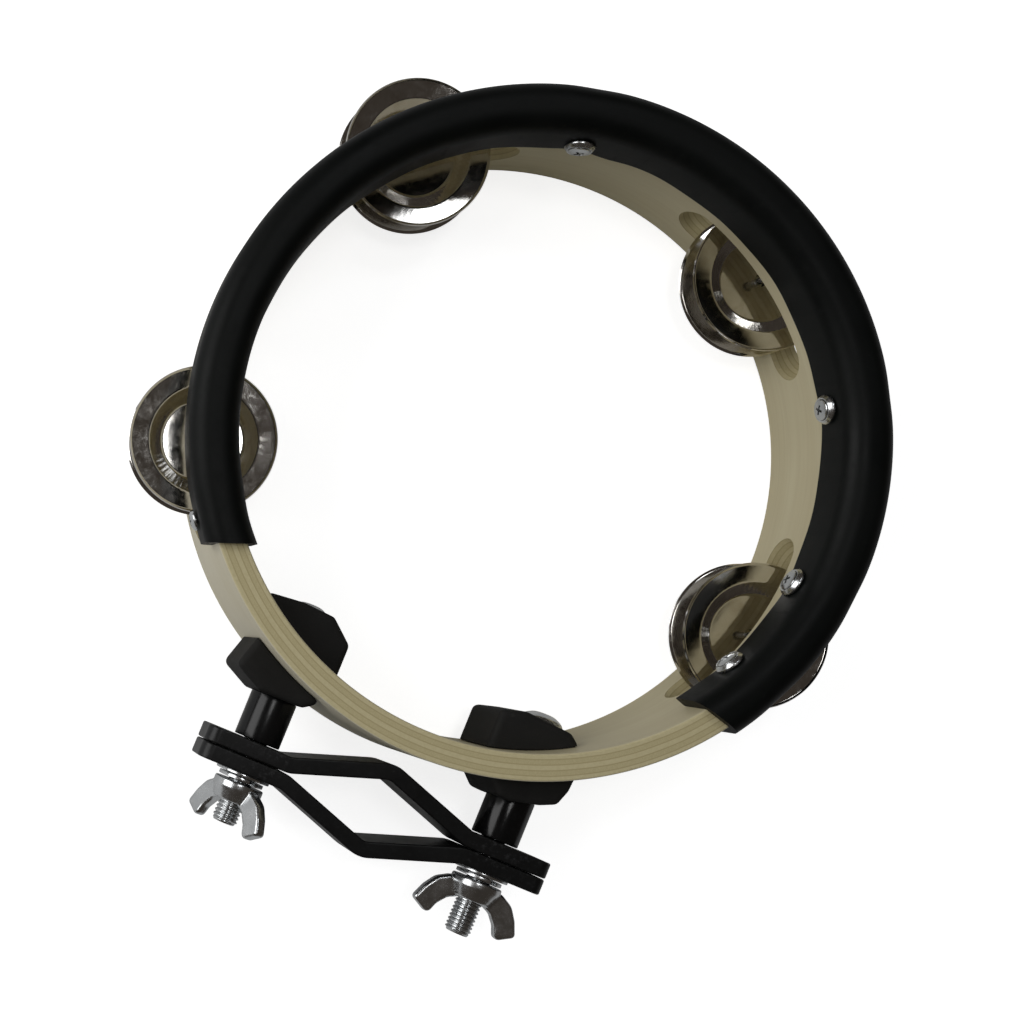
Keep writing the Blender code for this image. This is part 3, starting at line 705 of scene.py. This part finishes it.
def build_guard_fasteners():
    """Raised heads in cup washers on the inner lip, and one round head on the outer lip."""
    raised, rounded, cup = raised_head(), round_head(), cup_washer()
    thread = threaded_rod(1.5 * MM, 0.9 * MM, 0.3 * MM, 8.7 * MM, 20, 10)
    inner_seat, outer_seat = GUARD_INNER - 0.45 * MM, GUARD_OUTER + 0.3 * MM
    for number, angle in zip(SCREWS, SCREW_ANGLES):
        outside = number == OUTER_SCREW
        facing = radial(angle, 1.0 if outside else -1.0)
        seat = radial(angle, outer_seat if outside else inner_seat, box_centre(f"guard_screw_{number}").z)
        spin = math.radians(20 + 67 * number)
        head = rounded if outside else raised
        parts = [
            turned(head.copy(), facing, seat, spin),
            turned(thread.copy(), facing, seat - facing * 1.5 * MM),
        ]
        add(f"screw_{number}", joined(parts, "screw"), ZINC, "hoop", [f"guard_screw_{number}"])
        if not outside:
            place = turned(cup.copy(), facing, seat)
            add(f"cup_washer_{number}", place, ZINC, "hoop", [f"guard_cup_washer_{number}"])


# ---------------------------------------------------------------- jingles


def jingle_disc(seed):
    """A pressed disc: turned-up rim, dished flange, ribbed slope, nearly flat floor and a centre hole."""
    sheet = 0.5 * MM
    line = filleted(
        [(1.95, -3.5), (13.0, -3.3), (16.9, -0.35), (17.5, -0.25), (22.2, 0.35), (22.75, 0.72)],
        [0, 2.0, 1.0, 0.5, 0.6, 0],
        5,
        closed=False,
    )
    line = [Vector((r * MM, z * MM)) for r, z in line]
    normals = []
    for i in range(len(line)):
        along = (line[min(i + 1, len(line) - 1)] - line[max(i - 1, 0)]).normalized()
        normals.append(Vector((along.y, -along.x)))
    lower = [p + normal * sheet for p, normal in zip(line, normals)]
    profile = lower + line[::-1]
    steps, ribs, rib_middle = 240, 60, 15.7 * MM
    offset = Vector((seed * 3.7, seed * 1.9, seed * 5.3))
    rows = []
    for i in range(steps):
        angle = math.tau * i / steps
        row = []
        for p in profile:
            flat = Vector((p.x * math.cos(angle), p.x * math.sin(angle), 0.0))
            dent = noise.noise(flat / (7.5 * MM) + offset) * 0.07 * MM
            warp = noise.noise(flat / (21 * MM) - offset) * 0.15 * MM
            rib = 0.05 * MM * math.cos(ribs * angle) * near(p.x - rib_middle, 1.1 * MM)
            row.append((flat.x, flat.y, p.y + dent + warp + rib))
        rows.append(row)
    return grid_mesh("jingle", rows, close_rows=True, close_columns=True)


# How far each front jingle leans on its loose hole, and the way it faces in the view, both in degrees.
JINGLE_LEANS = {1: (3.0, 180.0), 2: (2.5, 285.0), 3: (2.0, 200.0), 4: (1.5, 150.0)}


def build_jingles():
    """Each pin's pair, bulging towards each other and hanging a little askew on a loose hole."""
    random.seed(8)
    for i, angle, pin_circle in jingle_places():
        low, high = box(f"jingle_pin_{i}")
        length = high.z - low.z
        pin = filleted(
            [(0, 0), (1.05, 0), (1.05, -length / MM + 2.0), (0.2, -length / MM), (0, -length / MM)],
            [0, 0.3, 0.5, 0.1, 0],
            4,
            closed=False,
        )
        pin = revolve("pin", [(r * MM, z * MM) for r, z in pin], 28, False)
        place = turned(pin, (0, 0, 1), (*radial(angle, pin_circle).xy, high.z))
        add(f"pin_{i}", place, ZINC, f"pin_{i}", [f"jingle_pin_{i}"])
        for side, flip in (("front", 1.0), ("back", -1.0)):
            node = f"jingle_{i}_{side}"
            low, high = box(node)
            level = high.z - 0.6 * MM if flip > 0 else low.z + 0.6 * MM
            mesh = jingle_disc(i + (4 if flip < 0 else 0))
            lean, way = (math.radians(value) for value in JINGLE_LEANS[i])
            lean *= 1.0 if flip > 0 else 0.3
            axis = radial(way + VIEW_ROLL + math.pi / 2, 1.0)
            turn = Matrix.Rotation(random.uniform(0, math.tau), 4, "Z")
            if flip < 0:
                turn = Matrix.Rotation(math.pi, 4, "X") @ turn
            place = Matrix.Translation((*((low + high) / 2).xy, level))
            mesh.transform(place @ Matrix.Rotation(lean, 4, axis) @ turn)
            add(f"{node}_disc", mesh, NICKEL, node, [node], 50)


# ---------------------------------------------------------------- clamp


# Pad outlines in millimetres: x from the bolt's axis, y from the hoop's centre. The first two corners lie
# in the wall and are trimmed away. No two pads are alike, because each is squeezed to its own place.
PAD_OUTLINES = {
    "inner_pad_left": [
        (-16.5, -95), (12.6, -95), (12.6, -78.3), (5.2, -72.0), (-5.0, -71.4), (-16.5, -72.6),
    ],
    "inner_pad_right": [
        (-17.7, -98), (8.3, -98), (8.3, -79.6), (5.0, -77.0), (-9.9, -76.0), (-17.7, -78.2),
    ],
    "outer_pad_left": [
        (10.0, -84), (-13.2, -84), (-16.9, -96.2), (-7.5, -101.0), (6.5, -101.0), (10.0, -98.6),
    ],
    "outer_pad_right": [
        (11.4, -84), (-13.2, -84), (-13.2, -98.8), (-9.0, -102.8), (-5.0, -103.0), (4.1, -100.8),
        (9.0, -98.6), (10.8, -93.5),
    ],
}


def pad_blank(name, bolt_x):
    """A pad before it is fitted to the wall: its outline with soft corners, and rounded edges all round."""
    width, rounding, corner_rounding = 27.6 * MM, 1.7 * MM, 2.2 * MM
    corners = [(bolt_x + x * MM, y * MM) for x, y in PAD_OUTLINES[name]]
    outline = filleted(corners, [0, 0] + [corner_rounding] * (len(corners) - 2), 5)
    blank = helper(prism("block", outline, width))
    bevel = blank.modifiers.new("rounding", "BEVEL")
    bevel.width = rounding
    bevel.segments = 4
    bevel.limit_method = "ANGLE"
    bevel.angle_limit = math.radians(60)
    mesh = evaluated(blank)
    mesh.transform(Matrix.Translation((0, 0, BOLT_Z)))
    return mesh


def seat_recess(radius, x, y, towards):
    """A round recess in a pad, open towards +Y or -Y, whose floor is at y."""
    depth = 20 * MM
    return turned(cylinder("seat", radius, depth, 64), (0, 1, 0), (x, y + towards * depth / 2, BOLT_Z))


def build_pads():
    """Two pads inside the wall and two outside, each moulded to the wall, bored and seated for its bolt."""
    gap, wall_gap = 0.25 * MM, 0.2 * MM
    for side in SIDES:
        bolt_x = box_centre(f"clamp_bolt_{side}").x
        bore = turned(cylinder("bore", 4.4 * MM, 200 * MM, 48), (0, 1, 0), (bolt_x, -HOOP_OUTER, BOLT_Z))
        inside = cylinder("inside", HOOP_INNER - wall_gap, 90 * MM, 360)
        outside = cylinder("outside", HOOP_OUTER + wall_gap, 90 * MM, 360)
        washer_seat = seat_recess(7.5 * MM, bolt_x, box(f"bolt_washer_{side}")[0].y - gap, 1)
        tube_seat = seat_recess(7.85 * MM, bolt_x, box(f"spacer_tube_{side}")[1].y + gap, -1)
        inner = cut(pad_blank(f"inner_pad_{side}", bolt_x), [inside], "INTERSECT")
        inner = cut(inner, [bore.copy(), washer_seat])
        outer = cut(pad_blank(f"outer_pad_{side}", bolt_x), [outside, bore, tube_seat])
        for name, mesh in ((f"inner_pad_{side}", inner), (f"outer_pad_{side}", outer)):
            skin = softened(mesh, 0.42 * MM, 3)
            add(f"rubber_{name}", skin, PAD_RUBBER, "hoop", [name], 60)


def build_bolts():
    """Low domed bolts with washers inside the hoop, threaded where the nut runs, and black spacer tubes."""
    thread_start = -112.0 * MM
    for side in SIDES:
        low, high = box(f"clamp_bolt_{side}")
        x = (low.x + high.x) / 2
        head_base = high.y - 3.4 * MM
        shank = (head_base - thread_start) / MM
        dome = [(0, 3.4), (3.4, 3.1), (5.7, 1.8), (6.6, 0.6), (6.55, 0.0)]
        profile = filleted(
            dome + [(3.9, 0.0), (3.9, -shank), (0, -shank)],
            [0, 5.0, 2.4, 0.4, 0.2, 0.1, 0.0, 0],
            5,
            closed=False,
        )
        head = revolve("head", [(r * MM, z * MM) for r, z in profile], 72, False)
        turned(head, (0, 1, 0), (x, head_base, BOLT_Z))
        rod = threaded_rod(3.98 * MM, THREAD_PITCH, 0.62 * MM, thread_start - low.y)
        turned(rod, (0, 1, 0), (x, thread_start, BOLT_Z))
        add(f"bolt_{side}", joined([head, rod], "bolt"), ZINC, "hoop", [f"clamp_bolt_{side}"], 35)

        low, high = box(f"bolt_washer_{side}")
        washer = revolve("washer", ring(7.0 * MM, 4.3 * MM, 0.0, high.y - low.y, 0.2 * MM), 72)
        turned(washer, (0, 1, 0), (x, low.y, BOLT_Z))
        add(f"head_washer_{side}", washer, ZINC, "hoop", [f"bolt_washer_{side}"])

        low, high = box(f"spacer_tube_{side}")
        tube = revolve("tube", ring(7.25 * MM, 4.5 * MM, 0.0, high.y - low.y, 0.35 * MM, 4), 96)
        turned(tube, (0, 1, 0), (x, low.y, BOLT_Z))
        add(f"spacer_{side}", tube, TUBE_PAINT, "hoop", [f"spacer_tube_{side}"])


def bend_path(corners, radius):
    """Straight runs and arcs through corners, measured by the length along them.

    Returns a function from that length to a point and a normal, the whole length, and the arcs' slices.
    """
    pieces = []
    at = Vector(corners[0])
    for i in range(1, len(corners)):
        corner = Vector(corners[i])
        before = (corner - Vector(corners[i - 1])).normalized()
        if i == len(corners) - 1:
            pieces.append(("line", (corner - at).length, at.copy(), before, 0.0))
            break
        after = (Vector(corners[i + 1]) - corner).normalized()
        turn = math.atan2(before.x * after.y - before.y * after.x, before.dot(after))
        stop = corner - before * radius * math.tan(abs(turn) / 2)
        pieces.append(("line", (stop - at).length, at.copy(), before, 0.0))
        pieces.append(("arc", radius * abs(turn), stop.copy(), before, turn))
        at = corner + after * radius * math.tan(abs(turn) / 2)

    def locate(length):
        for index, (kind, span, start, along, turn) in enumerate(pieces):
            if length <= span or index == len(pieces) - 1:
                normal = Vector((-along.y, along.x))
                if kind == "line":
                    return start + along * length, normal
                bend = math.copysign(1.0, turn)
                centre = start + normal * radius * bend
                a = turn * length / span
                spun = Vector((normal.x * math.cos(a) - normal.y * math.sin(a),
                               normal.x * math.sin(a) + normal.y * math.cos(a)))
                return centre - spun * radius * bend, spun
            length -= span

    arc_steps = 10
    stops = []
    run = 0.0
    for piece in pieces:
        kind, span = piece[:2]
        if kind == "arc":
            stops += [run + span * k / arc_steps for k in range(arc_steps + 1)]
        run += span
    return locate, run, stops


def flat_bar(length, width, thickness, corner, holes, hole_radius, cuts):
    """A flat bar along X with rounded corners, eased edges and drilled holes, sliced ready for bending."""
    easing = 0.55 * MM
    curve = bpy.data.curves.new("bar", "CURVE")
    curve.dimensions = "2D"
    curve.fill_mode = "BOTH"
    curve.extrude = thickness / 2 - easing
    curve.bevel_depth = easing
    curve.bevel_resolution = 2
    curve.offset = -easing
    x, y = length / 2, width / 2
    loops = [filleted([(x, y), (-x, y), (-x, -y), (x, -y)], [corner] * 4, 8)]
    hole_steps = 40
    circle = [math.tau * k / hole_steps for k in range(hole_steps)]
    for x in holes:
        loops.append([(x + hole_radius * math.cos(a), -hole_radius * math.sin(a)) for a in circle])
    for loop in loops:
        spline = curve.splines.new("POLY")
        spline.points.add(len(loop) - 1)
        for point, (x, y) in zip(spline.points, loop):
            point.co = (x, y, 0.0, 1.0)
        spline.use_cyclic_u = True
    source = bpy.data.objects.new("bar", curve)
    bpy.context.scene.collection.objects.link(source)
    mesh = evaluated(source)
    work = bmesh.new()
    work.from_mesh(mesh)
    bmesh.ops.remove_doubles(work, verts=work.verts, dist=1e-6)
    for x in cuts:
        everything = work.verts[:] + work.edges[:] + work.faces[:]
        bmesh.ops.bisect_plane(work, geom=everything, dist=1e-7, plane_co=(x, 0, 0), plane_no=(1, 0, 0))
    bmesh.ops.recalc_face_normals(work, faces=work.faces)
    work.to_mesh(mesh)
    work.free()
    return mesh


def build_straps():
    """Two flat bars bent to a shallow V, back to back, gripping a stand tube between them."""
    thickness, corner = 5.0 * MM, 4.0 * MM
    bend_x, apex, bend_radius = 29.5 * MM, 10.05 * MM, 7.0 * MM
    half = box_size("inner_strap").x / 2
    width = box_size("inner_strap").z
    middle = thickness / 2
    corners = [(-half, middle), (-bend_x, middle), (0, middle + apex), (bend_x, middle), (half, middle)]
    locate, length, stops = bend_path(corners, bend_radius)
    stretch = length - 2 * half
    holes = [-BOLT_X - stretch / 2, BOLT_X + stretch / 2]
    cuts = [stop - length / 2 for stop in stops]
    for node, body, flip in (("inner_strap", "hoop", 1.0), ("outer_strap", "jaw", -1.0)):
        low, high = box(node)
        split = low.y if flip > 0 else high.y
        bar = flat_bar(length, width, thickness, corner, holes, 4.5 * MM, cuts)
        for vertex in bar.vertices:
            point, normal = locate(vertex.co.x + length / 2)
            lifted = point + normal * vertex.co.z
            vertex.co = (lifted.x, split + flip * lifted.y, BOLT_Z + vertex.co.y)
        if flip > 0:
            bar.flip_normals()
        add(f"{node}_bar", bar, STRAP_PAINT, body, [node], 35, weighted=True)


def wing_nut_mesh():
    """A cast wing nut: a coned hub and two wide swept ears with square tips, melted together, then bored."""
    hub = filleted(
        [(0, 6.6), (6.1, 6.6), (7.8, 2.4), (7.8, 0.15), (0, 0.15)], [0, 1.0, 2.0, 0.5, 0], 5, closed=False
    )
    shapes = [revolve("hub", [(r * MM, z * MM) for r, z in hub], 64, False)]
    ear = [(3.0, 1.0), (8.5, 1.3), (12.6, 3.6), (15.2, 7.4), (17.2, 12.2), (11.2, 15.6), (9.6, 11.4),
           (7.2, 8.4), (3.0, 6.4)]
    rounding = [0, 4.0, 5.0, 6.0, 1.3, 1.6, 4.0, 3.0, 0]
    for sign in (1, -1):
        outline = filleted([(sign * x * MM, y * MM) for x, y in ear], [r * MM for r in rounding], 6)
        blade = helper(prism("ear", outline, 3.7 * MM))
        edge = blade.modifiers.new("edge", "BEVEL")
        edge.width = 0.9 * MM
        edge.segments = 3
        edge.limit_method = "ANGLE"
        edge.angle_limit = math.radians(60)
        blade = evaluated(blade)
        blade.transform(Matrix.Rotation(math.pi / 2, 4, "X"))
        shapes.append(blade)
    solid = cut(shapes[0], shapes[1:], "UNION")
    skin = softened(solid, 0.26 * MM, 4)
    return cut(skin, [cylinder("bore", 4.25 * MM, 40 * MM, 48)])


def spring_washer_mesh(height):
    """A square-section wire wound not quite once, with its two ends sprung slightly apart."""
    outer, inner, rise = 7.1 * MM, 4.6 * MM, 0.25 * MM
    thickness = height - rise
    rows = []
    steps = 72
    for i in range(steps + 1):
        share = i / steps
        angle = math.radians(8) + share * math.radians(344)
        lift = rise * share
        section = ring(outer, inner, lift, lift + thickness, 0.15 * MM, 2)
        rows.append([radial(angle, r, z) for r, z in section])
    return grid_mesh("spring", rows, close_columns=True, caps=True)


def build_nuts():
    """Flat washer, spring washer and wing nut on each bolt. The left nut's ears stand askew."""
    nut = wing_nut_mesh()
    spring = spring_washer_mesh(box_size("spring_washer_left").y)
    for side, turn in (("left", math.radians(-58.0)), ("right", 0.0)):
        bolt = box_centre(f"clamp_bolt_{side}")
        low, high = box(f"flat_washer_{side}")
        flat = revolve("flat", ring(8.5 * MM, 4.4 * MM, 0.0, high.y - low.y, 0.2 * MM), 72)
        turned(flat, (0, -1, 0), (bolt.x, high.y, BOLT_Z))
        add(f"nut_flat_washer_{side}", flat, ZINC, "jaw", [f"flat_washer_{side}"])
        low, high = box(f"spring_washer_{side}")
        place = turned(spring.copy(), (0, -1, 0), (bolt.x, high.y, BOLT_Z), math.radians(70))
        add(f"nut_spring_washer_{side}", place, ZINC, "jaw", [f"spring_washer_{side}"])
        high = box(f"wing_nut_{side}")[1]
        ears = nut.copy()
        ears.transform(Matrix.Rotation(turn, 4, "Y") @ Matrix.Rotation(math.pi / 2, 4, "X"))
        ears.transform(Matrix.Translation((bolt.x, high.y, BOLT_Z)))
        add(f"wing_nut_{side}_cast", ears, ZINC, f"wing_nut_{side}", [f"wing_nut_{side}"], 50)


# ---------------------------------------------------------------- stage


def build_floor():
    """A pale matt table top just under the bare rim, wide enough to fill the view, a little overexposed."""
    n = Nodes("pale_floor")
    soft = n.noise(6.0, 3.0)
    color = n.mix(n.remap(soft, 0.3, 0.7), (0.79, 0.79, 0.79), (0.82, 0.82, 0.82))
    seen = n.tree.nodes.new("ShaderNodeLightPath").outputs["Is Camera Ray"]
    glow = n.math("MULTIPLY", seen, 0.78)
    lift = [("Emission Color", (1.0, 1.0, 1.0, 1.0)), ("Emission Strength", glow)]
    material = n.finish(color, 0.75, n.bump(n.noise(900.0, 3.0), 0.03, 0.1 * MM), inputs=lift)
    half = 4.0
    points = [(-half, -half, 0), (half, -half, 0), (half, half, 0), (-half, half, 0)]
    mesh = mesh_from("floor", points, [(0, 1, 2, 3)])
    mesh.materials.append(material)
    floor = bpy.data.objects.new("floor", mesh)
    floor.location.z = CAD_BOX[0].z - 0.2 * MM
    bpy.context.scene.collection.objects.link(floor)


def softbox(name, place, size, radiance, shade=(1.0, 1.0, 1.0)):
    """A square area light, aimed at the hoop's centre, with its surface brightness given."""
    lamp = bpy.data.lights.new(name, "AREA")
    lamp.shape = "SQUARE"
    lamp.size = size
    lamp.energy = radiance * math.pi * size**2
    lamp.color = shade
    thing = bpy.data.objects.new(name, lamp)
    aim = (-Vector(place)).to_track_quat("-Z", "Y").to_matrix().to_4x4()
    thing.matrix_world = VIEW_FRAME @ Matrix.Translation(place) @ aim
    bpy.context.scene.collection.objects.link(thing)


def build_lights():
    """A wide soft light from the left, a panel overhead, a window beyond the top, and a dim brown room."""
    softbox("key", (-1.09, 0.29, 0.65), 0.9, 2.7)
    softbox("overhead", (-0.07, 0.137, 1.2), 0.24, 6.0)
    softbox("window", (0.28, 0.66, 1.2), 0.26, 5.0, (0.94, 0.97, 1.0))
    room_shade, mirrored_shade = (0.18, 0.18, 0.18, 1.0), (0.045, 0.038, 0.032, 1.0)
    world = bpy.data.worlds.new("room")
    bpy.context.scene.world = world
    world.use_nodes = True
    nodes, links = world.node_tree.nodes, world.node_tree.links
    mix = nodes.new("ShaderNodeMix")
    mix.data_type = "RGBA"
    links.new(nodes.new("ShaderNodeLightPath").outputs["Is Glossy Ray"], mix.inputs["Factor"])
    colors = [socket for socket in mix.inputs if socket.type == "RGBA"]
    colors[0].default_value, colors[1].default_value = room_shade, mirrored_shade
    result = next(socket for socket in mix.outputs if socket.type == "RGBA")
    links.new(result, nodes["Background"].inputs["Color"])


def shift_lens_at(home, camera, axis, amount):
    """Shifts the camera's lens only while it stands at home, so that a view from elsewhere stays centred."""
    curve = camera.data.driver_add(axis)
    curve.modifiers.remove(curve.modifiers[0])
    curve.driver.type = "SUM"
    gap = curve.driver.variables.new()
    gap.type = "LOC_DIFF"
    gap.targets[0].id, gap.targets[1].id = camera, home
    for distance, shift in ((0.0, amount), (20 * MM, 0.0)):
        curve.keyframe_points.insert(distance, shift).interpolation = "CONSTANT"


def build_camera():
    """Above the table, left of the hoop, looking down with a shifted lens that keeps its rims round."""
    stand = Vector((-147.4, -48.9, 467.9)) * MM
    tilt = Matrix.Rotation(math.radians(1.62), 4, "Y") @ Matrix.Rotation(math.radians(-0.55), 4, "X")
    data = bpy.data.cameras.new("camera")
    data.sensor_width = 36.0
    data.lens = 50.2
    data.clip_start = 0.01
    data.clip_end = 50.0
    camera = bpy.data.objects.new("camera", data)
    back = tilt.transposed()
    camera.matrix_world = VIEW_FRAME @ Matrix.Translation(back.to_3x3() @ stand) @ back
    home = bpy.data.objects.new("camera_home", None)
    home.matrix_world = camera.matrix_world
    for thing in (camera, home):
        bpy.context.scene.collection.objects.link(thing)
    bpy.context.scene.camera = camera
    shift_lens_at(home, camera, "shift_x", 0.4614)
    shift_lens_at(home, camera, "shift_y", 0.0899)


build_hoop()
build_guard()
build_guard_fasteners()
build_jingles()
build_pads()
build_bolts()
build_straps()
build_nuts()
build_floor()
build_lights()
build_camera()
bpy.context.scene.view_settings.view_transform = "Standard"
